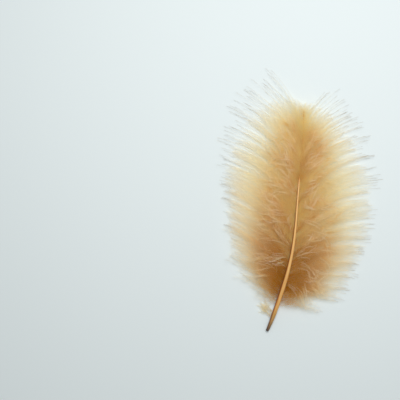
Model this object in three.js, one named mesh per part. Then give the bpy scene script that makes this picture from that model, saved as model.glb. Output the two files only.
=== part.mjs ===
// A marabou feather lying on a flat surface: a tapered shaft with a soft vane of down on each side.
// Millimetres, +Z up, with the cut end of the quill towards -Y and the tip of the feather towards +Y.
import * as THREE from "three";

// Centre line of the shaft, from the cut end of the quill to the tip, before the feather is centred.
// The quill's end rests on the surface, and the down holds the rest of the shaft up.
const SHAFT_LINE = [
  [0, 0, 0.75],
  [2.5, 12.3, 1.6],
  [4.6, 29.6, 2.9],
  [4.7, 46.5, 3.9],
  [3.1, 63.2, 4.2],
  [1.9, 82.7, 3.6],
  [0, 99.7, 2.6],
];

// Radius of the shaft by share of its length: widest a sixth of the way up, then a long taper.
const SHAFT_RADII = [
  [0, 0.65],
  [0.04, 0.85],
  [0.12, 1.05],
  [0.22, 1.02],
  [0.3, 0.9],
  [0.4, 0.7],
  [0.5, 0.54],
  [0.65, 0.36],
  [0.85, 0.22],
  [1, 0.14],
];
const SHAFT_SIDES = 12;
const SHAFT_STEPS = 48;

// How the barbs leave the shaft: share of the shaft's length, length of the right barb and of the left one,
// then the angles between barb and shaft, in degrees, at the root and at the tip of the barb.
const BARBS = [
  [0.12, 17, 13, 76, 100],
  [0.16, 25, 23, 63, 88],
  [0.2, 28.5, 28.5, 56, 83],
  [0.28, 36, 37, 45, 81],
  [0.38, 41.5, 42, 37, 80],
  [0.48, 45.5, 46, 32, 80],
  [0.58, 45, 48, 29, 77],
  [0.68, 43, 48, 25, 70],
  [0.77, 35.5, 44, 22, 63],
  [0.86, 28.5, 36, 19, 54],
  [0.94, 19, 25, 16, 42],
  [1, 8.5, 8.5, 8, 20],
];
const RIGHT_LENGTH = 1;
const LEFT_LENGTH = 2;
const ROOT_ANGLE = 3;
const TIP_ANGLE = 4;

const VANE_GAP = 0.35; // clear space between a vane and the shaft
const CREST_HEIGHT = 1.4; // how far the down beside the shaft rises above the shaft's centre line
const FRINGE_HEIGHT = 0.8; // thickness of the down at the tips of the barbs
const VANE_STEPS_ALONG = 30;
const VANE_STEPS_ACROSS = 8;

const KERATIN = { color: 0xd9a862, roughness: 0.35, metalness: 0 };
const DYED_DOWN = { color: 0xc08a4a, roughness: 0.9, metalness: 0 };

const UP = new THREE.Vector3(0, 0, 1);
const shaftCurve = new THREE.CatmullRomCurve3(
  SHAFT_LINE.map((point) => new THREE.Vector3(...point)),
);
const shaftLength = shaftCurve.getLength();

// Value of one column of a table at a share of the shaft's length, by straight lines between its rows.
function tableValue(table, share, column) {
  const last = table.length - 1;
  const found = table.findIndex((row) => row[0] >= share);
  const upper = found === -1 ? last : Math.max(found, 1);
  const before = table[upper - 1];
  const after = table[upper];
  const part = THREE.MathUtils.clamp((share - before[0]) / (after[0] - before[0]), 0, 1);
  return THREE.MathUtils.lerp(before[column], after[column], part);
}

const shaftRadius = (share) => tableValue(SHAFT_RADII, share, 1);

// Point on the shaft's centre line, with its own directions to the tip, to the right and upwards.
function shaftFrame(share) {
  const point = shaftCurve.getPointAt(share);
  const along = shaftCurve.getTangentAt(share);
  const right = new THREE.Vector3().crossVectors(along, UP).normalize();
  const upward = new THREE.Vector3().crossVectors(right, along);
  return { point, along, right, upward };
}

// Moves every vertex of a geometry to the place that a function of the vertex gives.
function reshape(geometry, place) {
  const positions = geometry.getAttribute("position");
  const vertex = new THREE.Vector3();
  for (let i = 0; i < positions.count; i++) {
    vertex.fromBufferAttribute(positions, i);
    positions.setXYZ(i, ...place(vertex).toArray());
  }
  geometry.computeVertexNormals();
  return geometry;
}

// The shaft is turned as a straight tapered spike and then bent along the centre line.
function shaftGeometry() {
  const profile = [new THREE.Vector2(0, 0)];
  for (let step = 0; step <= SHAFT_STEPS; step++) {
    const share = step / SHAFT_STEPS;
    profile.push(new THREE.Vector2(shaftRadius(share), share * shaftLength));
  }
  profile.push(new THREE.Vector2(0, shaftLength));
  return reshape(new THREE.LatheGeometry(profile, SHAFT_SIDES), (vertex) => {
    const share = THREE.MathUtils.clamp(vertex.y / shaftLength, 0, 1);
    const { point, right, upward } = shaftFrame(share);
    return point.addScaledVector(right, vertex.x).addScaledVector(upward, vertex.z);
  });
}

// Direction of a barb on the surface, turned outwards from the shaft by an angle in degrees.
function barbDirection(along, side, degrees) {
  const flat = new THREE.Vector3(along.x, along.y, 0).normalize();
  return flat.applyAxisAngle(UP, -side * THREE.MathUtils.degToRad(degrees));
}

// A vane is a block whose width follows the barbs and whose length follows the shaft. Its underside is
// flat on the surface, and its top falls in a hollow curve from the shaft to the tips of the barbs.
// side is 1 for the right vane and -1 for the left one.
function vaneGeometry(side) {
  const block = new THREE.BoxGeometry(1, 1, 1, VANE_STEPS_ACROSS, VANE_STEPS_ALONG, 1);
  const start = BARBS[0][0];
  return reshape(block, (vertex) => {
    const share = THREE.MathUtils.lerp(start, 1, vertex.y + 0.5);
    const outward = 0.5 + side * vertex.x;
    const { point, along, right } = shaftFrame(share);
    const length = tableValue(BARBS, share, side > 0 ? RIGHT_LENGTH : LEFT_LENGTH);
    const rootWay = barbDirection(along, side, tableValue(BARBS, share, ROOT_ANGLE));
    const tipWay = barbDirection(along, side, tableValue(BARBS, share, TIP_ANGLE));
    const bent = (outward * outward) / 2;
    const crest = point.z + CREST_HEIGHT;
    const fall = (1 - outward) ** 2;
    point.addScaledVector(right, side * (shaftRadius(share) + VANE_GAP));
    point.addScaledVector(rootWay, length * (outward - bent));
    point.addScaledVector(tipWay, length * bent);
    point.z = vertex.z > 0 ? THREE.MathUtils.lerp(FRINGE_HEIGHT, crest, fall) : 0;
    return point;
  });
}

function namedMesh(name, geometry, look) {
  const mesh = new THREE.Mesh(geometry, new THREE.MeshStandardMaterial(look));
  mesh.name = name;
  return mesh;
}

const feather = new THREE.Group();
feather.add(
  namedMesh("shaft", shaftGeometry(), KERATIN),
  namedMesh("left_vane", vaneGeometry(-1), DYED_DOWN),
  namedMesh("right_vane", vaneGeometry(1), DYED_DOWN),
);

// The origin is on the surface, under the middle of the feather.
const box = new THREE.Box3().setFromObject(feather);
const middle = box.getCenter(new THREE.Vector3());
feather.position.set(-middle.x, -middle.y, -box.min.z);

export default feather;
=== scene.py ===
"""Looks of a marabou feather that lies on a pale board: a glossy tapered quill and soft dyed down.

Lengths inside the functions are in millimetres, and become metres when a piece is made.
"""
import math

import bpy
import numpy as np
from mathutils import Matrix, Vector


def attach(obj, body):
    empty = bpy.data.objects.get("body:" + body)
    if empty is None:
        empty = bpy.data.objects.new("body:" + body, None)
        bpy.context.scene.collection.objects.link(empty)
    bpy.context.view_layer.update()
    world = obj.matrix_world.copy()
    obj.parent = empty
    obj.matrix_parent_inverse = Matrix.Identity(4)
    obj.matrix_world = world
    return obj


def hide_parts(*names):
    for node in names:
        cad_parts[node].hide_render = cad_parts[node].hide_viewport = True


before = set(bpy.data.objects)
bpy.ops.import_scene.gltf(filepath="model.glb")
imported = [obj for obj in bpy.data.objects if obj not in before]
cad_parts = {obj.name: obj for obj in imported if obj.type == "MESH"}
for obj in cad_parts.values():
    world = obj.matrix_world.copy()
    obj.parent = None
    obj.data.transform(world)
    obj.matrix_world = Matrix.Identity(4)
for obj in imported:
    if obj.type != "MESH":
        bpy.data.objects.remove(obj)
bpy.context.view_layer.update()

bl_info = {
    "name": "Marabou Feather",
    "version": (1, 0, 0),
    "blender": (4, 5, 0),
    "location": "3D View > Sidebar > Feather",
    "description": "Builds the quill, the down and the stage of a marabou feather around its packed frame",
    "category": "Object",
}

MM = 0.001
BODY = "root"
BAKE_MAP = "OFBake"
UP = np.array([0.0, 0.0, 1.0])
FULL_TURN = 2 * np.pi
TABLE_STEPS = 200

# How the barbs leave the shaft: share of the shaft's length, length of the right barb and of the left one
# in millimetres, then the angles between barb and shaft at the root and at the tip of the barb, in degrees.
# The down ends at these lengths, and some barbs go on past them as bare hairs.
BARB_ROWS = (
    (0.12, 15.0, 10.0, 76, 100),
    (0.16, 23.0, 21.0, 63, 88),
    (0.20, 27.0, 27.0, 56, 83),
    (0.28, 34.0, 35.0, 45, 81),
    (0.38, 39.5, 40.0, 37, 80),
    (0.48, 42.0, 42.5, 32, 80),
    (0.58, 38.0, 41.0, 29, 77),
    (0.68, 34.0, 38.5, 25, 70),
    (0.77, 26.5, 33.0, 22, 63),
    (0.86, 19.0, 24.0, 19, 54),
    (0.94, 10.5, 14.0, 16, 42),
    (1.00, 4.0, 4.0, 8, 20),
)
BARB_TABLE = np.array(BARB_ROWS).T
SHARE_COLUMN, RIGHT_COLUMN, LEFT_COLUMN, ROOT_COLUMN, TIP_COLUMN = range(5)
FIRST_BARB = BARB_ROWS[0][SHARE_COLUMN]
BANDS = ("base", "lower", "upper", "tip")

# The down starts to close over the shaft CLOSING_SHARE before SHAFT_SHOWS_TO, as shares of the shaft's
# length, and has closed there.
SHAFT_SHOWS_TO = 0.76
CLOSING_SHARE = 0.12

# Tone of the barbs by share of the shaft's length, from 0 for dark to 1 for light: the down is darker near
# the quill, in part with painted shade where it lies deep beside the quill.
TONE_BY_SHARE = (
    (0.12, 0.3), (0.17, 0.1), (0.23, 0.0), (0.36, 0.55), (0.5, 0.88), (0.65, 0.95), (0.8, 0.95),
)

# The barbules by their place along the barb: how closely they stand, as a share of the usual, their length
# as a share of the longest, and the angle between barbule and barb in degrees.
BARBULE_DENSITIES = (
    (0, 1.1), (0.1, 1.1), (0.4, 1), (0.6, 0.82), (0.75, 0.68), (0.85, 0.55), (0.93, 0.4), (1, 0.25),
)
BARBULE_LENGTHS = (
    (0, 0.5), (0.05, 0.9), (0.15, 1), (0.3, 1), (0.6, 0.8), (0.75, 0.65), (0.9, 0.45), (1, 0.25),
)
BARBULE_ANGLES = ((0, 50), (0.4, 38), (0.8, 22), (1, 12))

# How closely the barbs stand by share of the shaft's length, as a share of the usual.
BARB_DENSITIES = (
    (0.12, 0.2), (0.16, 1), (0.2, 1.9), (0.25, 1.8), (0.34, 1.3), (0.6, 1), (0.8, 0.95), (0.9, 0.55),
    (1, 0.12),
)

# How far the longest barbs go on as bare hairs, as a share of the length at which the down ends.
HAIR_LENGTHS = (
    (0.14, 1.12), (0.2, 1.06), (0.38, 1.05), (0.48, 1.1), (0.58, 1.22), (0.68, 1.3), (0.77, 1.4),
    (0.86, 1.6), (1, 2.3),
)

# How far the barbules stay long towards the tips of the barbs by share of the shaft's length, from 0 to 1.
FLUFFINESS = ((0.12, 0.55), (0.3, 0.45), (0.5, 0.2), (0.65, 0.0))

# How far barbs turn away from their neighbours by share of the shaft's length, as a share of the usual.
DISORDER = ((0.12, 5), (0.17, 3), (0.25, 1.6), (0.4, 1.2), (0.6, 1), (1, 1))

# Where the map of a barb ends, from 0 to 1: the tips of downy barbs stay pale, and those of hairs darken
# with painted shade.
PALE_END = 0.88
SHADED_HAIR_END = 0.99

# A barb counts as a hair if barbules cover less than this share of it.
HAIRY_BELOW = 0.95

# Usual depth, in millimetres, of fibres beside the shaft under its centre line.
USUAL_DEPTH = 0.5

# Sockets of the mixing nodes, by number because several of them share a name.
MIX_FACTOR, MIX_FIRST, MIX_SECOND = 0, 6, 7
MIX_RESULT = 2
FIRST_SHADER, SECOND_SHADER = 1, 2


def linear_colour(hex_colour):
    """Linear RGBA of an sRGB hex value such as d9a45c."""
    channels = [int(hex_colour[i:i + 2], 16) / 255 for i in (0, 2, 4)]
    straight = [c / 12.92 if c <= 0.04045 else ((c + 0.055) / 1.055) ** 2.4 for c in channels]
    return (*straight, 1.0)


def add_node(tree, kind, settings=None, inputs=None, links=None):
    """Adds a node, sets its own settings and socket values, and links sockets from other nodes to it."""
    node = tree.nodes.new(kind)
    for name, value in (settings or {}).items():
        setattr(node, name, value)
    for name, value in (inputs or {}).items():
        node.inputs[name].default_value = value
    for name, socket in (links or {}).items():
        tree.links.new(socket, node.inputs[name])
    return node


def set_ramp(node, stops):
    """Gives a colour ramp its stops, as (position, hex colour)."""
    elements = node.color_ramp.elements
    while len(elements) < len(stops):
        elements.new(0.5)
    for element, (position, hex_colour) in zip(elements, stops):
        element.position = position
        element.color = linear_colour(hex_colour)


def new_material(name):
    """An empty node material, with its node tree and its output node."""
    material = bpy.data.materials.new(name)
    material.use_nodes = True
    material.node_tree.nodes.clear()
    output = add_node(material.node_tree, "ShaderNodeOutputMaterial")
    return material, material.node_tree, output


def between(rows, places):
    """Values at places, by straight lines between rows of (place, value)."""
    row_places, row_values = zip(*rows)
    return np.interp(places, row_places, row_values)


def crowded(densities, low, high, even):
    """Places from low to high, as dense as the rows of (place, density) say.

    They come from values that are spread evenly from 0 to 1.
    """
    places = np.linspace(low, high, TABLE_STEPS)
    filled = np.cumsum(between(densities, places))
    return np.interp(even, (filled - filled[0]) / (filled[-1] - filled[0]), places)


def crowd_share(densities, low, high, start, end):
    """Share of what stands between start and end that stands between low and high."""
    inside = between(densities, np.linspace(low, high, TABLE_STEPS)).mean() * (high - low)
    return inside / (between(densities, np.linspace(start, end, TABLE_STEPS)).mean() * (end - start))


def unit(vectors):
    """Vectors of length 1 in the same directions."""
    return vectors / np.maximum(np.linalg.norm(vectors, axis=-1, keepdims=True), 1e-9)


def fitted_shaft():
    """Centre line and radius of the CAD shaft as polynomials of the distance along Y, and its two ends."""
    degree = 7
    cap_centre = 0.08
    vertices = np.array([v.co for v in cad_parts["shaft"].data.vertices]) / MM
    along = vertices[:, 1]
    fit = np.polynomial.Polynomial.fit
    line_x = fit(along, vertices[:, 0], degree)
    line_z = fit(along, vertices[:, 2], degree)
    reach = np.hypot(vertices[:, 0] - line_x(along), vertices[:, 2] - line_z(along))
    wall = reach > cap_centre
    radius = fit(along[wall], reach[wall], degree)
    return line_x, line_z, radius, along.min(), along.max()


SHAFT_X, SHAFT_Z, SHAFT_RADIUS, SHAFT_START, SHAFT_END = fitted_shaft()


def shaft_at(share):
    """Points of the shaft at shares of its length, with the ways to the tip and to the right, and radii."""
    y = SHAFT_START + np.asarray(share) * (SHAFT_END - SHAFT_START)
    points = np.stack([SHAFT_X(y), y, SHAFT_Z(y)], -1)
    slopes = np.stack([SHAFT_X.deriv()(y), np.ones_like(y), SHAFT_Z.deriv()(y)], -1)
    along = unit(slopes)
    right = unit(np.cross(along, UP))
    thinnest = 0.1
    return points, along, right, np.maximum(SHAFT_RADIUS(y), thinnest)


def barb_value(column, share):
    """Values of one column of the barbs' table at shares of the shaft's length."""
    return np.interp(share, BARB_TABLE[SHARE_COLUMN], BARB_TABLE[column])


def turned(along, side, degrees):
    """Directions on the surface that leave the shaft's direction outwards, to its right if side is 1."""
    heading = np.arctan2(along[:, 1], along[:, 0]) - side * np.radians(degrees)
    return np.stack([np.cos(heading), np.sin(heading), np.zeros_like(heading)], -1)


def swept(roots, root_way, tip_way, length, steps):
    """Lines from their roots that turn evenly from one direction to another."""
    t = np.linspace(0, 1, steps)[None, :, None]
    bent = t * t / 2
    reach = (t - bent) * root_way[:, None] + bent * tip_way[:, None]
    return roots[:, None] + reach * length[:, None, None]


def barb_plan(side, share, inset, length_scale, turn, steps):
    """Centre lines of barbs at the height of the shaft, swept from their root angle to their tip angle.

    inset is how far the roots stand from the shaft's centre line, in radii of the shaft.
    """
    points, along, right, radius = shaft_at(share)
    roots = points + right * (side * inset * radius)[:, None]
    root_way = turned(along, side, barb_value(ROOT_COLUMN, share) + turn)
    tip_way = turned(along, side, barb_value(TIP_COLUMN, share) + turn)
    length = barb_value(RIGHT_COLUMN if side > 0 else LEFT_COLUMN, share) * length_scale
    return swept(roots, root_way, tip_way, length, steps)


def waves(rng, count, steps, turns):
    """Smooth random waves along lines, up to 1 high: a slow sine with a faster one on it."""
    faster = 2.3
    slowest, fastest = 0.7, 1.3
    t = np.linspace(0, 1, steps)
    total = np.zeros((count, steps))
    for pace in (1, faster):
        phase = rng.uniform(0, FULL_TURN, (count, 1))
        cycles = turns * pace * rng.uniform(slowest, fastest, (count, 1))
        total += np.sin(FULL_TURN * cycles * t + phase) / pace
    return total / (1 + 1 / faster)


def closing_over(share, raggedness=0):
    """How far the down has closed over the shaft, from 0 to 1, at shares of the shaft's length."""
    return np.clip((share - SHAFT_SHOWS_TO) / CLOSING_SHARE + 1 + raggedness, 0, 1)


def tucked(points, depth, rng):
    """Keeps fibres off the floor, and beside the shaft where it shows, some deeper than others."""
    flank_slope = 0.8
    ragged = 0.15
    ragged_pace = 9
    cover = 4
    lowest, highest = 0.06, 0.16
    y = np.clip(points[..., 1], SHAFT_START, SHAFT_END)
    share = (y - SHAFT_START) / (SHAFT_END - SHAFT_START)
    aside = np.abs(points[..., 0] - SHAFT_X(y)) - SHAFT_RADIUS(y)
    closed = closing_over(share, ragged * np.sin(ragged_pace * points[..., 0]))
    ceiling = SHAFT_Z(y) - depth[:, None] + flank_slope * aside + cover * closed ** 2
    height = np.minimum(points[..., 2], ceiling)
    floor = rng.uniform(lowest, highest, height.shape)
    points[..., 2] = np.maximum(height, floor)
    return points


def barb_heights(share, tuft, settings, rng):
    """Heights along barbs that rise beside the shaft and droop to the floor at their tips."""
    cover_gap = 0.2
    lowest_tip, highest_tip = 0.3, 1.8
    tuft_rise_spread = 0.24
    own_rise_spread = 0.2
    wobble_height, wobble_turns = 0.3, 1
    fall_power = 1.6
    count = len(share)
    steps = settings.barb_steps
    t = np.linspace(0, 1, steps)
    points, _, _, radius = shaft_at(share)
    root_height = points[:, 2] + closing_over(share) * (radius + cover_gap)
    tip_height = rng.uniform(lowest_tip, highest_tip, (count, 1))
    tuft_rise = rng.normal(0, tuft_rise_spread, tuft.max() + 1)[tuft]
    rise = settings.crest / MM * (1 + tuft_rise + rng.normal(0, own_rise_spread, count))
    wobble = wobble_height * waves(rng, count, steps, wobble_turns) * t
    fall = root_height[:, None] * (1 - t) ** fall_power
    return fall + tip_height * t + rise[:, None] * np.sin(np.pi * np.sqrt(t)) + wobble


def barb_lengths(share, tuft_length, settings, rng):
    """Lengths of barbs, as shares of that at which the down ends: some go on past it as bare hairs."""
    longest_downy = 1.05
    most_cut = 0.6
    count = len(share)
    hair = rng.random(count) < settings.hair_share
    cut = np.abs(between(DISORDER, share) * rng.normal(0, settings.length_spread, count)).clip(0, most_cut)
    hair_length = 1 + (between(HAIR_LENGTHS, share) - 1) * np.sqrt(rng.random(count))
    return tuft_length * np.where(hair, hair_length, longest_downy - cut)


def make_barbs(side, low, high, settings, rng):
    """Centre lines of the barbs between two shares of the shaft, and how they look.

    Gives the lines, each barb's tone, the share of it that carries barbules, and how fluffy its end is.
    """
    root_inset = 0.7
    closed_inset = 4
    tuft_length_spread = 0.04
    least_gathered, most_gathered = 0.2, 1.2
    own_sway, own_waves = 0.35, 0.9
    tuft_sway, tuft_waves = 0.8, 0.6
    tuft_tone_spread = 0.25
    own_tone_spread = 0.16
    darkest, lightest = 0.06, 0.94
    steps = settings.barb_steps
    t = np.linspace(0, 1, steps)
    count = round(settings.barbs_a_side * crowd_share(BARB_DENSITIES, low, high, FIRST_BARB, 1))
    share = crowded(BARB_DENSITIES, low, high, (np.arange(count) + rng.random(count)) / count)

    # Neighbouring barbs lie together in tufts.
    tuft = np.cumsum(rng.random(count) < 1 / settings.barbs_in_a_tuft)
    tufts = tuft.max() + 1
    members = np.bincount(tuft, minlength=tufts)
    leader = np.where(members, np.bincount(tuft, share, tufts) / np.maximum(members, 1), low)
    tuft_turn = rng.normal(0, np.degrees(settings.tuft_spread), tufts)
    tuft_length = rng.normal(1, tuft_length_spread, tufts)

    # Where the down closes over the shaft, roots lie across its centre line.
    inset = root_inset - closed_inset * closing_over(share) * rng.random(count)
    own_length = barb_lengths(share, tuft_length[tuft], settings, rng)
    own_turn = between(DISORDER, share) * rng.normal(0, np.degrees(settings.barb_spread), count)
    paths = barb_plan(side, share, inset, own_length, tuft_turn[tuft] + own_turn, steps)

    # The barbs of a tuft close up towards their tips, and sway together and each by itself.
    led = barb_plan(side, leader, np.full(tufts, root_inset), tuft_length, tuft_turn, steps)[tuft]
    gather = settings.tuft_gather * t ** 3 * rng.uniform(least_gathered, most_gathered, (count, 1))
    paths += (led - paths) * np.minimum(gather, 1)[..., None]
    across = np.cross(unit(np.gradient(paths, axis=1)), UP)
    sway = own_sway * waves(rng, count, steps, own_waves)
    sway = sway + tuft_sway * waves(rng, tufts, steps, tuft_waves)[tuft]
    paths += across * (settings.barb_sway / MM * sway * t)[..., None]
    paths[..., 2] = barb_heights(share, tuft, settings, rng)

    tuft_tone = rng.normal(0, tuft_tone_spread, tufts)[tuft]
    tone = between(TONE_BY_SHARE, share) + tuft_tone + rng.normal(0, own_tone_spread, count)
    depth = rng.exponential(USUAL_DEPTH, count)
    downy = np.minimum(1 / own_length, 1)
    return tucked(paths, depth, rng), np.clip(tone, darkest, lightest), downy, between(FLUFFINESS, share)


def drawn_by_curl(rng, curl, low, high, own):
    """A random value from low to high for each curl, with a smaller change for each of its strands."""
    return rng.uniform(low, high, curl.max() + 1)[curl] + rng.normal(0, own, len(curl))


def stray_roots(side, curl, rng):
    """Where loose strands start on top of the down, and the headings of the barbs under them."""
    line_steps = 40
    lowest, highest = 1.3, 2.2
    count = len(curl)
    each = np.arange(count)
    share = drawn_by_curl(rng, curl, low=0.18, high=0.86, own=0.008)
    lines = barb_plan(side, share, np.ones(count), np.ones(count), np.zeros(count), line_steps)
    outward = drawn_by_curl(rng, curl, low=0.05, high=0.5, own=0.03)
    start = np.clip(outward * line_steps, 1, line_steps - 2).astype(int)
    roots = lines[each, start]
    way = lines[each, start + 1] - roots
    roots[:, 2] = lines[:, 0, 2] * (1 - start / line_steps) + rng.uniform(lowest, highest, count)
    return roots, np.arctan2(way[:, 1], way[:, 0])


def loose_strands(roots, headings, lengths, curls, rises, steps):
    """Centre lines of strands that lie loose: each turns by its curl, and arches by its rise."""
    hook, back = 1.5, 0.35
    droop = 0.4
    t = np.linspace(0, 1, steps)
    heading = headings[:, None] + curls[:, None] * (hook * (t * t - back * t))
    pace = lengths[:, None] / (steps - 1)
    paths = np.zeros((len(roots), steps, 3))
    paths[:, 1:, 0] = np.cumsum(np.cos(heading) * pace, 1)[:, :-1]
    paths[:, 1:, 1] = np.cumsum(np.sin(heading) * pace, 1)[:, :-1]
    paths[..., 2] = rises[:, None] * np.sin(np.pi * t) - droop * t
    return roots[:, None] + paths


def tubes(rings):
    """Closed skins of tubes, from a ring of points at each step of each tube.

    Gives the vertices, the triangles, and how far along and around its tube each triangle's corners are.
    """
    count, steps, sides = rings.shape[:3]
    tube, step, side = np.meshgrid(np.arange(count), np.arange(steps - 1), np.arange(sides), indexing="ij")
    corner_steps = np.stack([step, step + 1, step + 1, step, step + 1, step], -1)
    corner_sides = np.stack([side, side, side + 1, side, side + 1, side + 1], -1)
    walls = (tube[..., None] * steps + corner_steps) * sides + corner_sides % sides

    fan = np.arange(1, sides - 1)
    cap = np.stack([np.zeros_like(fan), fan, fan + 1], -1)
    map_depth = 0.005  # gives the caps a little area on the map
    cap_depth = map_depth * (cap == 0)
    first = np.arange(count)[:, None, None] * steps * sides
    starts = first + cap
    ends = first + (steps - 1) * sides + cap[:, ::-1]

    triangles = np.concatenate([part.reshape(-1, 3) for part in (walls, starts, ends)])
    cap_around = np.tile(cap / sides, (count, 1))
    along = np.concatenate([
        corner_steps.reshape(-1, 3) / (steps - 1), np.tile(cap_depth, (count, 1)),
        np.tile(1 - cap_depth[:, ::-1], (count, 1)),
    ])
    around = np.concatenate([corner_sides.reshape(-1, 3) / sides, cap_around, cap_around[:, ::-1]])
    return rings.reshape(-1, 3), triangles, along, around


def barb_skin(paths, root_width, tone, paleness, ends):
    """Three-sided tubes that taper along barbs, with a map of the share along the barb and the tone.

    The map of each barb runs from its paleness to its end.
    """
    sides = 3
    tip_share = 0.75
    tone_width = 0.02
    steps = paths.shape[1]
    direction = unit(np.gradient(paths, axis=1))
    across = unit(np.cross(direction, UP))
    upward = np.cross(across, direction)
    angles = FULL_TURN * np.arange(sides)[:, None] / sides + np.pi / 2
    ring = across[:, :, None] * np.cos(angles) + upward[:, :, None] * np.sin(angles)
    radius = root_width / 2 * np.linspace(1, tip_share, steps)
    rings = paths[:, :, None] + ring * radius[None, :, None, None]
    vertices, triangles, along, around = tubes(rings)
    barb = triangles[:, 0] // (steps * sides)
    start = paleness[barb][:, None]
    share_along = start + (ends[barb][:, None] - start) * along
    own_tone = tone[barb][:, None] + tone_width * (around - 0.5)
    return vertices, triangles, np.stack([share_along, own_tone], -1)


def barbule_roots(paths, downy, barbules_a_mm, bare, rng):
    """Where barbules stand: the barb of each, its place on the downy part, its root and its barb's way."""
    last_place = 0.99
    count, steps = paths.shape[:2]
    barb_length = np.linalg.norm(np.diff(paths, axis=1), axis=2).sum(1)
    each = np.maximum(1, barbules_a_mm * barb_length * downy).astype(int)
    barb = np.repeat(np.arange(count), each)
    total = len(barb)
    order = np.arange(total) - np.repeat(np.cumsum(each) - each, each)
    place = crowded(BARBULE_DENSITIES, bare, last_place, (order + rng.random(total)) / each[barb])
    at = place * downy[barb] * (steps - 1)
    before = np.minimum(at.astype(int), steps - 2)
    part = (at - before)[:, None]
    root = paths[barb, before] * (1 - part) + paths[barb, before + 1] * part
    return barb, place, root, unit(paths[barb, before + 1] - paths[barb, before])


def barbule_skin(paths, tone, downy, fluff, settings, rng, paleness, bare=0.01):
    """Thin bent blades on both sides of each barb, with the same kind of map as the barbs.

    downy is the share of each barb that carries barbules, and bare the share at its root that doesn't.
    The blades are wider and fewer than real barbules, which are too fine to show.
    """
    rank_spread = 0.75
    opening_spread = 10
    forward, scatter, sag = 0.55, 0.22, 0.12
    shortest, longest = 0.55, 1.2
    thinnest, widest = 0.7, 1.2
    tone_spread = 0.06
    darkest, lightest = 0.03, 0.97
    map_share = 0.82
    map_along = np.array([0, 0.04, 0.04, 0.08])
    map_across = np.array([0, -0.008, 0.008, 0])
    barb, place, root, direction = barbule_roots(paths, downy, settings.barbules_a_mm, bare, rng)
    total = len(barb)
    across = unit(np.cross(direction, UP))
    upward = np.cross(across, direction)

    # The barbules stand in two loose ranks, left and right of the barb, and lean towards its tip.
    rank = np.pi * (rng.random(total) < 0.5)
    spin = rank + rng.normal(0, rank_spread, total)
    outward = across * np.cos(spin)[:, None] + upward * np.sin(spin)[:, None]
    worn = place * (1 - fluff[barb])
    opening = np.radians(between(BARBULE_ANGLES, worn) + rng.normal(0, opening_spread, total))
    start_way = unit(direction * np.cos(opening)[:, None] + outward * np.sin(opening)[:, None])
    end_way = unit(start_way + forward * direction + rng.normal(0, scatter, (total, 3)) - sag * UP)
    own_length = between(BARBULE_LENGTHS, worn) * rng.uniform(shortest, longest, total)
    half_length = settings.barbule_length / MM / 2 * own_length
    middle = root + start_way * half_length[:, None]
    tip = middle + end_way * half_length[:, None]
    flat = unit(np.cross(start_way, rng.normal(0, 1, (total, 3))))
    half_width = settings.barbule_width / MM / 2 * rng.uniform(thinnest, widest, total)
    edge = flat * half_width[:, None]
    blades = np.stack([root, middle - edge, middle + edge, tip], 1)
    vertices = tucked(blades, rng.exponential(USUAL_DEPTH, total), rng)

    blade = np.array([(0, 1, 2), (2, 1, 3)])  # two triangles that share the middle edge
    triangles = (4 * np.arange(total)[:, None, None] + blade).reshape(-1, 3)
    own_tone = np.clip(tone[barb] + rng.normal(0, tone_spread, total), darkest, lightest)
    start = paleness[barb][:, None]
    u = (start + (1 - start) * place[:, None]) * map_share + map_along
    v = own_tone[:, None] + map_across
    corners = np.stack([u, v], -1).reshape(-1, 2)[triangles]
    return vertices.reshape(-1, 3), triangles, corners


def make_piece(name, skins, material, node, smooth=False):
    """One mesh from several skins, in place of a CAD node.

    Fibres stay flat-shaded: a blade has one face, and shading it round would swallow light.
    """
    starts = np.cumsum([0] + [len(vertices) for vertices, _, _ in skins])
    points = np.concatenate([vertices for vertices, _, _ in skins]) * MM
    triangles = np.concatenate([faces + start for (_, faces, _), start in zip(skins, starts)])
    corners = np.concatenate([places for _, _, places in skins])
    mesh = bpy.data.meshes.new(name)
    mesh.vertices.add(len(points))
    mesh.vertices.foreach_set("co", points.astype(np.float32).ravel())
    mesh.loops.add(triangles.size)
    mesh.loops.foreach_set("vertex_index", triangles.astype(np.int32).ravel())
    mesh.polygons.add(len(triangles))
    mesh.polygons.foreach_set("loop_start", np.arange(0, triangles.size, 3, dtype=np.int32))
    layer = mesh.uv_layers.new(name=BAKE_MAP)
    layer.data.foreach_set("uv", corners.astype(np.float32).ravel())
    mesh.update(calc_edges=True)
    if smooth:
        mesh.shade_smooth()
    else:
        mesh.shade_flat()
    mesh.materials.append(material)
    piece = bpy.data.objects.new(name, mesh)
    bpy.context.scene.collection.objects.link(piece)
    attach(piece, BODY)
    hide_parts(node)


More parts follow.
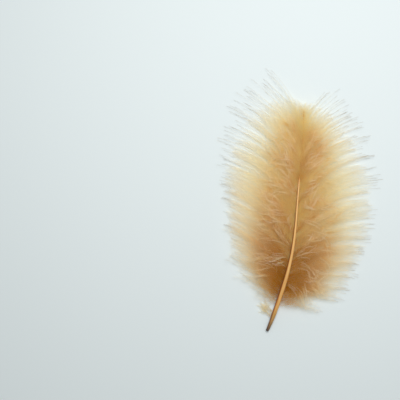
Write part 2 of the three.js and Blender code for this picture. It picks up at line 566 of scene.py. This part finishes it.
def dyed_down():
    """Dyed turkey down: fibres far thinner than a hair, matt, and lit through more than on their face.

    They are pale by themselves. The golden brown comes from the light's many turns between them. The dyed
    colour is strongest at the roots of the dark barbs, which near the quill are dark in part with painted
    shade, and bare hairs darken at their tips with painted shade.
    """
    material, tree, output = new_material("dyed down")
    place = add_node(tree, "ShaderNodeUVMap", {"uv_map": BAKE_MAP})
    split = add_node(tree, "ShaderNodeSeparateXYZ", links={"Vector": place.outputs["UV"]})
    along = add_node(tree, "ShaderNodeValToRGB", links={"Fac": split.outputs["X"]})
    # Past PALE_END the ramp darkens to painted shade, which the tips of bare hairs reach.
    set_ramp(along, (
        (0.0, "fcf2bc"), (0.3, "fdf5d0"), (0.6, "fffae8"), (PALE_END, "fffaf0"), (1.0, "c8bca6"),
    ))
    tone = add_node(tree, "ShaderNodeValToRGB", links={"Fac": split.outputs["Y"]})
    set_ramp(tone, ((0.0, "e6b93c"), (1.0, "ffffff")))
    # Strength of the tone colour along a barb, full at its roots: the dyed colour, and near the quill in
    # part painted shade.
    dye_and_shade = add_node(
        tree, "ShaderNodeMapRange",
        inputs={"From Min": 0.15, "From Max": 0.65, "To Min": 1.0, "To Max": 0.1},
        links={"Value": split.outputs["X"]},
    )
    shade = add_node(
        tree, "ShaderNodeMix", {"data_type": "RGBA", "blend_type": "MULTIPLY"},
        links={
            MIX_FACTOR: dye_and_shade.outputs["Result"], MIX_FIRST: along.outputs["Color"],
            MIX_SECOND: tone.outputs["Color"],
        },
    )
    face = add_node(
        tree, "ShaderNodeBsdfPrincipled",
        inputs={"Roughness": 0.85, "IOR": 1.54, "Specular IOR Level": 0.3},
        links={"Base Color": shade.outputs[MIX_RESULT]},
    )
    through = add_node(tree, "ShaderNodeBsdfTranslucent", links={"Color": shade.outputs[MIX_RESULT]})
    both = add_node(
        tree, "ShaderNodeMixShader", inputs={"Fac": 0.7},
        links={FIRST_SHADER: face.outputs["BSDF"], SECOND_SHADER: through.outputs["BSDF"]},
    )
    tree.links.new(both.outputs["Shader"], output.inputs["Surface"])
    return material


def down_material():
    """The one material of all the down."""
    return bpy.data.materials.get("dyed down") or dyed_down()


def keratin():
    """Keratin quill: horn-like, glossy and finely grained along its length, golden with a dark, dry end.
    Its colour carries painted shade down its left flank, underneath it and in the hollow of its cut end.
    """
    material, tree, output = new_material("keratin quill")
    place = add_node(tree, "ShaderNodeUVMap", {"uv_map": BAKE_MAP})
    split = add_node(tree, "ShaderNodeSeparateXYZ", links={"Vector": place.outputs["UV"]})
    along = add_node(tree, "ShaderNodeValToRGB", links={"Fac": split.outputs["Y"]})
    # The stops up to 0.022 cover the hollow and rim of the cut end: painted shade, near black at the bottom
    # of the hollow, lightening to the quill's own dark end colour at the rim.
    set_ramp(along, (
        (0.0, "1c1412"), (0.022, "5a4840"), (0.044, "8a6e4a"), (0.07, "b89058"), (0.096, "cc9e56"),
        (0.13, "e6b064"), (0.4, "f4c47c"), (1.0, "f8d094"),
    ))
    # Painted shade round the quill, multiplied into its colour: lightest along the top, a little darker on
    # the right, dark down the left flank and underneath.
    painted_shade_round = add_node(tree, "ShaderNodeValToRGB", links={"Fac": split.outputs["X"]})
    set_ramp(painted_shade_round, (
        (0.0, "8a6840"), (0.25, "fff0d8"), (0.4, "ffffff"), (0.55, "ffffff"), (0.64, "b88850"),
        (0.76, "7a5428"),
    ))
    body = add_node(
        tree, "ShaderNodeMix", {"data_type": "RGBA", "blend_type": "MULTIPLY"}, {MIX_FACTOR: 1.0},
        {MIX_FIRST: along.outputs["Color"], MIX_SECOND: painted_shade_round.outputs["Color"]},
    )

    # Fine lengthwise grain. The real one is about a third as wide, too fine to show.
    grain_width = 0.2
    grain_length = 7.0
    grain_depth = 0.03
    girth = FULL_TURN * float(SHAFT_RADIUS(SHAFT_START))
    cells = (girth / grain_width, (SHAFT_END - SHAFT_START) / grain_length, 1)
    fibres = add_node(
        tree, "ShaderNodeMapping", inputs={"Scale": cells}, links={"Vector": place.outputs["UV"]}
    )
    grain = add_node(
        tree, "ShaderNodeTexNoise", {"noise_dimensions": "2D"}, {"Scale": 1.0, "Detail": 3.0},
        {"Vector": fibres.outputs["Vector"]},
    )
    streaks = add_node(tree, "ShaderNodeValToRGB", links={"Fac": grain.outputs["Fac"]})
    set_ramp(streaks, ((0.3, "d8bc98"), (0.6, "ffffff")))
    streaked = add_node(
        tree, "ShaderNodeMix", {"data_type": "RGBA", "blend_type": "MULTIPLY"}, {MIX_FACTOR: 0.6},
        {MIX_FIRST: body.outputs[MIX_RESULT], MIX_SECOND: streaks.outputs["Color"]},
    )
    gloss = add_node(
        tree, "ShaderNodeMapRange", inputs={"To Min": 0.4, "To Max": 0.22},
        links={"Value": grain.outputs["Fac"]},
    )
    relief = add_node(
        tree, "ShaderNodeBump", inputs={"Strength": 0.4, "Distance": grain_depth * MM},
        links={"Height": grain.outputs["Fac"]},
    )
    face = add_node(
        tree, "ShaderNodeBsdfPrincipled", inputs={"IOR": 1.55},
        links={
            "Base Color": streaked.outputs[MIX_RESULT], "Roughness": gloss.outputs["Result"],
            "Normal": relief.outputs["Normal"],
        },
    )
    tree.links.new(face.outputs["BSDF"], output.inputs["Surface"])
    return material


def white_board(colour):
    """Matt white board under the feather: pale and even, with hardly any shine."""
    material, tree, output = new_material("matt white board")
    face = add_node(
        tree, "ShaderNodeBsdfPrincipled",
        inputs={"Base Color": colour, "Roughness": 0.8, "Specular IOR Level": 0.2},
    )
    tree.links.new(face.outputs["BSDF"], output.inputs["Surface"])
    return material


class FeatherQuillSettings(bpy.types.PropertyGroup):
    """What a user would change about the quill."""

    rings: bpy.props.IntProperty(name="Rings", description="Steps along the quill", default=180, min=20)
    sides: bpy.props.IntProperty(name="Sides", description="Steps around the quill", default=24, min=6)
    hollow_depth: bpy.props.FloatProperty(
        name="Hollow depth", description="Depth of the hollow in the cut end", default=0.0012, min=0,
        subtype="DISTANCE", unit="LENGTH",
    )


class FeatherDownSettings(bpy.types.PropertyGroup):
    """What a user would change about the down."""

    barbs_a_side: bpy.props.IntProperty(
        name="Barbs a side", description="Barbs on each side of the shaft", default=390, min=10
    )
    barb_steps: bpy.props.IntProperty(
        name="Barb steps", description="Steps along a barb", default=18, min=4
    )
    barb_width: bpy.props.FloatProperty(
        name="Barb width", description="Width of a barb at its root", default=0.00011, min=0,
        subtype="DISTANCE", unit="LENGTH",
    )
    barb_spread: bpy.props.FloatProperty(
        name="Barb spread", description="How far barbs turn from their tuft", default=math.radians(2.2),
        min=0, subtype="ANGLE", unit="ROTATION",
    )
    length_spread: bpy.props.FloatProperty(
        name="Length spread", description="How unlike the barbs are in length", default=0.1,
        min=0, max=1, subtype="FACTOR",
    )
    hair_share: bpy.props.FloatProperty(
        name="Hairs", description="Share of the barbs that go on as bare hairs", default=0.3,
        min=0, max=1, subtype="FACTOR",
    )
    barb_sway: bpy.props.FloatProperty(
        name="Barb sway", description="Sideways waves of a barb at its tip", default=0.0004, min=0,
        subtype="DISTANCE", unit="LENGTH",
    )
    barbs_in_a_tuft: bpy.props.FloatProperty(
        name="Barbs in a tuft", description="How many neighbouring barbs lie together", default=4.5, min=1
    )
    tuft_spread: bpy.props.FloatProperty(
        name="Tuft spread", description="How far tufts turn from the even fan", default=math.radians(0.6),
        min=0, subtype="ANGLE", unit="ROTATION",
    )
    tuft_gather: bpy.props.FloatProperty(
        name="Tuft gather", description="How far the barbs of a tuft close up towards their tips",
        default=0.06, min=0, max=1, subtype="FACTOR",
    )
    crest: bpy.props.FloatProperty(
        name="Crest", description="Usual rise of the barbs above their fall to the floor", default=0.0016,
        min=0, subtype="DISTANCE", unit="LENGTH",
    )
    barbules_a_mm: bpy.props.FloatProperty(
        name="Barbules a millimetre", description="Fine fibres on a millimetre of barb", default=14.0, min=0
    )
    barbule_length: bpy.props.FloatProperty(
        name="Barbule length", description="Longest fine fibres", default=0.0034, min=0,
        subtype="DISTANCE", unit="LENGTH",
    )
    barbule_width: bpy.props.FloatProperty(
        name="Barbule width", description="Width of a fine fibre at its middle", default=0.000023, min=0,
        subtype="DISTANCE", unit="LENGTH",
    )
    seed: bpy.props.IntProperty(name="Seed", description="Start of the random draws", default=7)


class FeatherStraySettings(bpy.types.PropertyGroup):
    """What a user would change about the loose strands."""

    curls: bpy.props.IntProperty(
        name="Curls", description="Curls of loose strands on each side", default=62, min=1
    )
    strands_a_curl: bpy.props.IntProperty(
        name="Strands a curl", description="Strands that lie together in a curl", default=4, min=1
    )
    length: bpy.props.FloatProperty(
        name="Length", description="Usual length of a strand", default=0.008,
        subtype="DISTANCE", unit="LENGTH",
    )
    width: bpy.props.FloatProperty(
        name="Width", description="Width of a strand at its root", default=0.00016,
        subtype="DISTANCE", unit="LENGTH",
    )
    turn: bpy.props.FloatProperty(
        name="Turn", description="How far strands turn from the barbs under them", default=math.radians(30),
        subtype="ANGLE", unit="ROTATION",
    )
    droop: bpy.props.FloatProperty(
        name="Droop", description="How far curls turn away from the tip of the feather",
        default=math.radians(22), subtype="ANGLE", unit="ROTATION",
    )
    bend: bpy.props.FloatProperty(
        name="Bend", description="How far strands turn along their length", default=math.radians(65),
        subtype="ANGLE", unit="ROTATION",
    )
    paleness: bpy.props.FloatProperty(
        name="Paleness", description="How pale the palest strands are at their roots", default=0.45,
        min=0, max=1, subtype="FACTOR",
    )
    barbules_a_mm: bpy.props.FloatProperty(
        name="Barbules a millimetre", description="Fine fibres on a millimetre of strand", default=16.0,
        min=0,
    )
    barbule_length: bpy.props.FloatProperty(
        name="Barbule length", description="Longest fine fibres on a strand", default=0.001, min=0,
        subtype="DISTANCE", unit="LENGTH",
    )
    barbule_width: bpy.props.FloatProperty(
        name="Barbule width", description="Width of a fine fibre on a strand", default=0.00006, min=0,
        subtype="DISTANCE", unit="LENGTH",
    )
    seed: bpy.props.IntProperty(name="Seed", description="Start of the random draws", default=3)


class FeatherTuftSettings(bpy.types.PropertyGroup):
    """What a user would change about the tuft beside the quill."""

    strands: bpy.props.IntProperty(name="Strands", description="Barbs in the tuft", default=16, min=1)
    shares: bpy.props.FloatVectorProperty(
        name="Shares", description="Where the tuft grows, as shares of the shaft's length", size=2,
        default=(0.06, 0.09),
    )
    length: bpy.props.FloatProperty(
        name="Length", description="Longest barbs of the tuft", default=0.008,
        subtype="DISTANCE", unit="LENGTH",
    )
    width: bpy.props.FloatProperty(
        name="Width", description="Width of a barb at its root", default=0.0001,
        subtype="DISTANCE", unit="LENGTH",
    )
    lean: bpy.props.FloatProperty(
        name="Lean", description="How far the tuft turns from the shaft to the left",
        default=math.radians(75), subtype="ANGLE", unit="ROTATION",
    )
    barbules_a_mm: bpy.props.FloatProperty(
        name="Barbules a millimetre", description="Fine fibres on a millimetre of barb", default=13.0, min=0
    )
    barbule_length: bpy.props.FloatProperty(
        name="Barbule length", description="Longest fine fibres of the tuft", default=0.0028, min=0,
        subtype="DISTANCE", unit="LENGTH",
    )
    barbule_width: bpy.props.FloatProperty(
        name="Barbule width", description="Width of a fine fibre of the tuft", default=0.000021, min=0,
        subtype="DISTANCE", unit="LENGTH",
    )
    seed: bpy.props.IntProperty(name="Seed", description="Start of the random draws", default=5)


class FeatherStageSettings(bpy.types.PropertyGroup):
    """What a user would change about the floor, the light and the camera."""

    floor_colour: bpy.props.FloatVectorProperty(
        name="Floor", description="Colour of the floor", size=4, default=linear_colour("e6eeee"),
        subtype="COLOR",
    )
    floor_size: bpy.props.FloatProperty(
        name="Floor size", description="Length of the floor's sides", default=4.0,
        subtype="DISTANCE", unit="LENGTH",
    )
    light_place: bpy.props.FloatVectorProperty(
        name="Light", description="Middle of the soft light", size=3, default=(0.0, 0.14, 0.34),
        subtype="TRANSLATION", unit="LENGTH",
    )
    light_size: bpy.props.FloatProperty(
        name="Light size", description="Diameter of the soft light", default=0.3,
        subtype="DISTANCE", unit="LENGTH",
    )
    light_power: bpy.props.FloatProperty(
        name="Light power", description="Power of the soft light", default=1.06, unit="POWER"
    )
    room_strength: bpy.props.FloatProperty(
        name="Room light", description="Strength of the even light from all round", default=0.35
    )
    light_turns: bpy.props.IntProperty(
        name="Light turns", description="Most turns of light between the fibres", default=32, min=4
    )
    frame_width: bpy.props.FloatProperty(
        name="Frame width", description="Width of floor that the picture takes in", default=0.18,
        subtype="DISTANCE", unit="LENGTH",
    )
    aim: bpy.props.FloatVectorProperty(
        name="Aim", description="Point under the camera, from the cut end of the quill", size=2,
        default=(-0.0393, 0.053), subtype="XYZ", unit="LENGTH",
    )
    lean: bpy.props.FloatProperty(
        name="Lean", description="How far the shaft leans to the right in the picture",
        default=math.radians(9.38), subtype="ANGLE", unit="ROTATION",
    )


class FEATHER_OT_quill(bpy.types.Operator):
    """Builds the quill along the shaft of the frame, with a hollow cut end"""

    bl_idname = "feather.quill"
    bl_label = "Quill"

    def execute(self, context):
        settings = context.scene.feather_quill
        # The hollow in the cut end comes first, as (depth, share of the radius) from bottom to rim.
        depth = settings.hollow_depth / MM
        hollow = ((depth, 0.3), (depth, 0.5), (0.1, 0.62), (0, 0.75))
        share = np.concatenate([np.zeros(len(hollow)), np.linspace(0, 1, settings.rings)])
        points, along, right, radius = shaft_at(share)
        for ring, (inward, narrowed) in enumerate(hollow):
            points[ring] += along[ring] * inward
            radius[ring] *= narrowed
        upward = np.cross(right, along)
        angles = FULL_TURN * np.arange(settings.sides)[:, None] / settings.sides - np.pi / 2
        ring = right[:, None] * np.cos(angles) + upward[:, None] * np.sin(angles)
        rings = points[:, None] + ring * radius[:, None, None]
        vertices, triangles, along_share, around_share = tubes(rings[None])
        skin = (vertices, triangles, np.stack([around_share, along_share], -1))
        make_piece("quill", [skin], keratin(), "shaft", smooth=True)
        return {"FINISHED"}


class FEATHER_OT_vane(bpy.types.Operator):
    """Builds the down on one side of the shaft, in bands from the quill to the tip"""

    bl_idname = "feather.vane"
    bl_label = "Down"

    side: bpy.props.EnumProperty(items=(("LEFT", "Left", ""), ("RIGHT", "Right", "")), name="Side")

    def execute(self, context):
        settings = context.scene.feather_down
        side = 1 if self.side == "RIGHT" else -1
        name = self.side.lower()
        edges = np.linspace(FIRST_BARB, 1, len(BANDS) + 1)
        for band, low, high in zip(BANDS, edges[:-1], edges[1:]):
            rng = np.random.default_rng([settings.seed, side + 1, BANDS.index(band)])
            paths, tone, downy, fluff = make_barbs(side, low, high, settings, rng)
            ends = np.where(downy < HAIRY_BELOW, SHADED_HAIR_END, PALE_END)
            dyed = np.zeros(len(paths))
            skins = [
                barb_skin(paths, settings.barb_width / MM, tone, dyed, ends),
                barbule_skin(paths, tone, downy, fluff, settings, rng, dyed),
            ]
            make_piece(f"{name}_{band}_down", skins, down_material(), f"{name}_vane")
        return {"FINISHED"}


class FEATHER_OT_strays(bpy.types.Operator):
    """Builds pale loose strands that lie on the down on one side of the shaft"""

    bl_idname = "feather.strays"
    bl_label = "Strays"

    side: bpy.props.EnumProperty(items=(("LEFT", "Left", ""), ("RIGHT", "Right", "")), name="Side")

    def execute(self, context):
        settings = context.scene.feather_strays
        own_turn = 0.15
        own_bend = 0.25
        shortest, longest = 0.5, 1.3
        darkest, lightest = 0.3, 0.85
        least_pale = 0.15
        strand_end = 0.8
        side = 1 if self.side == "RIGHT" else -1
        name = self.side.lower()
        rng = np.random.default_rng([settings.seed, side + 1])
        curl = np.repeat(np.arange(settings.curls), settings.strands_a_curl)
        count = len(curl)
        steps = context.scene.feather_down.barb_steps
        roots, barb_headings = stray_roots(side, curl, rng)
        curl_turns = rng.normal(settings.droop, settings.turn, settings.curls)
        headings = barb_headings - side * (curl_turns[curl] + rng.normal(0, own_turn, count))
        lengths = settings.length / MM * rng.uniform(shortest, longest, count)
        curl_bends = rng.normal(0, settings.bend, settings.curls)
        bends = curl_bends[curl] + rng.normal(0, own_bend, count)
        rises = drawn_by_curl(rng, curl, low=0.1, high=0.9, own=0.1)
        paths = loose_strands(roots, headings, lengths, bends, rises, steps)
        tone = rng.uniform(darkest, lightest, count)
        paleness = rng.uniform(least_pale, settings.paleness, count)
        skins = [
            barb_skin(paths, settings.width / MM, tone, paleness, np.full(count, strand_end)),
            barbule_skin(paths, tone, np.ones(count), np.zeros(count), settings, rng, paleness),
        ]
        make_piece(f"{name}_stray_strands", skins, down_material(), f"{name}_vane")
        return {"FINISHED"}


class FEATHER_OT_base_tuft(bpy.types.Operator):
    """Builds the small tuft of down that stands out on the left of the bare quill"""

    bl_idname = "feather.base_tuft"
    bl_label = "Base tuft"

    def execute(self, context):
        settings = context.scene.feather_tuft
        steps = 10
        root_inset = 0.8
        heading_spread = 0.25
        shortest, longest = 0.5, 1.1
        bend_spread = 0.6
        highest_rise = 0.5
        tip_drop = 0.4
        floor_gap = 0.1
        darkest, lightest = 0.2, 0.6
        bare_root = 0.4
        root_paleness = 0.3
        rng = np.random.default_rng(settings.seed)
        count = settings.strands
        share = rng.uniform(*settings.shares, count)
        points, along, right, radius = shaft_at(share)
        roots = points - right * (root_inset * radius)[:, None]
        shaft_headings = np.arctan2(along[:, 1], along[:, 0])
        headings = shaft_headings + settings.lean + rng.normal(0, heading_spread, count)
        lengths = settings.length / MM * rng.uniform(shortest, longest, count)
        bends = rng.normal(0, bend_spread, count)
        rises = rng.uniform(0, highest_rise, count)
        paths = loose_strands(roots, headings, lengths, bends, rises, steps)
        paths[..., 2] = np.maximum(paths[..., 2] * np.linspace(1, tip_drop, steps), floor_gap)
        tone = rng.uniform(darkest, lightest, count)
        paleness = np.full(count, root_paleness)
        skins = [
            barb_skin(paths, settings.width / MM, tone, paleness, np.full(count, PALE_END)),
            barbule_skin(paths, tone, np.ones(count), np.zeros(count), settings, rng, paleness, bare_root),
        ]
        make_piece("base_tuft", skins, down_material(), "left_vane")
        return {"FINISHED"}


class FEATHER_OT_stage(bpy.types.Operator):
    """Builds the floor, the soft light and the camera"""

    bl_idname = "feather.stage"
    bl_label = "Stage"

    def execute(self, context):
        settings = context.scene.feather_stage
        scene = context.scene
        half = settings.floor_size / 2
        mesh = bpy.data.meshes.new("floor")
        corners = [(-half, -half, 0), (half, -half, 0), (half, half, 0), (-half, half, 0)]
        mesh.from_pydata(corners, [], [(0, 1, 2, 3)])
        mesh.materials.append(white_board(settings.floor_colour))
        floor = bpy.data.objects.new("floor", mesh)
        scene.collection.objects.link(floor)

        world = bpy.data.worlds.new("soft room")
        world.use_nodes = True
        background = world.node_tree.nodes["Background"]
        background.inputs["Color"].default_value = linear_colour("f6fafc")
        background.inputs["Strength"].default_value = settings.room_strength
        scene.world = world

        light = bpy.data.lights.new("soft box", "AREA")
        light.shape = "DISK"
        light.size = settings.light_size
        light.energy = settings.light_power
        lamp = bpy.data.objects.new("soft box", light)
        lamp.location = settings.light_place
        lamp.rotation_mode = "QUATERNION"
        lamp.rotation_quaternion = (-Vector(settings.light_place)).to_track_quat("-Z", "Y")
        scene.collection.objects.link(lamp)

        camera = bpy.data.cameras.new("camera")
        camera.lens = 85
        camera.sensor_width = 36
        viewer = bpy.data.objects.new("camera", camera)
        quill_end = (SHAFT_X(SHAFT_START) * MM, SHAFT_START * MM)
        height = settings.frame_width * camera.lens / camera.sensor_width
        viewer.location = (quill_end[0] + settings.aim[0], quill_end[1] + settings.aim[1], height)
        viewer.rotation_euler = (0, 0, settings.lean)
        scene.collection.objects.link(viewer)
        scene.camera = viewer
        scene.view_settings.view_transform = "Standard"

        # Light turns many times between the fibres before it leaves the down.
        scene.cycles.max_bounces = settings.light_turns
        scene.cycles.diffuse_bounces = settings.light_turns
        scene.cycles.transmission_bounces = settings.light_turns
        return {"FINISHED"}


class FEATHER_PT_panel(bpy.types.Panel):
    """Lists the pieces of the feather"""

    bl_idname = "FEATHER_PT_panel"
    bl_label = "Marabou Feather"
    bl_space_type = "VIEW_3D"
    bl_region_type = "UI"
    bl_category = "Feather"

    def draw(self, context):
        column = self.layout.column()
        column.operator("feather.quill")
        column.operator("feather.vane", text="Left down").side = "LEFT"
        column.operator("feather.vane", text="Right down").side = "RIGHT"
        column.operator("feather.strays", text="Left strays").side = "LEFT"
        column.operator("feather.strays", text="Right strays").side = "RIGHT"
        column.operator("feather.base_tuft")
        column.operator("feather.stage")


CLASSES = (
    FeatherQuillSettings,
    FeatherDownSettings,
    FeatherStraySettings,
    FeatherTuftSettings,
    FeatherStageSettings,
    FEATHER_OT_quill,
    FEATHER_OT_vane,
    FEATHER_OT_strays,
    FEATHER_OT_base_tuft,
    FEATHER_OT_stage,
    FEATHER_PT_panel,
)
SETTINGS = {
    "feather_quill": FeatherQuillSettings,
    "feather_down": FeatherDownSettings,
    "feather_strays": FeatherStraySettings,
    "feather_tuft": FeatherTuftSettings,
    "feather_stage": FeatherStageSettings,
}


def register():
    for item in CLASSES:
        bpy.utils.register_class(item)
    for name, group in SETTINGS.items():
        setattr(bpy.types.Scene, name, bpy.props.PointerProperty(type=group))


def unregister():
    for name in SETTINGS:
        delattr(bpy.types.Scene, name)
    for item in reversed(CLASSES):
        bpy.utils.unregister_class(item)


def main():
    register()
    bpy.ops.feather.quill()
    bpy.ops.feather.vane(side="LEFT")
    bpy.ops.feather.vane(side="RIGHT")
    bpy.ops.feather.strays(side="LEFT")
    bpy.ops.feather.strays(side="RIGHT")
    bpy.ops.feather.base_tuft()
    bpy.ops.feather.stage()


if __name__ == "__main__":
    main()
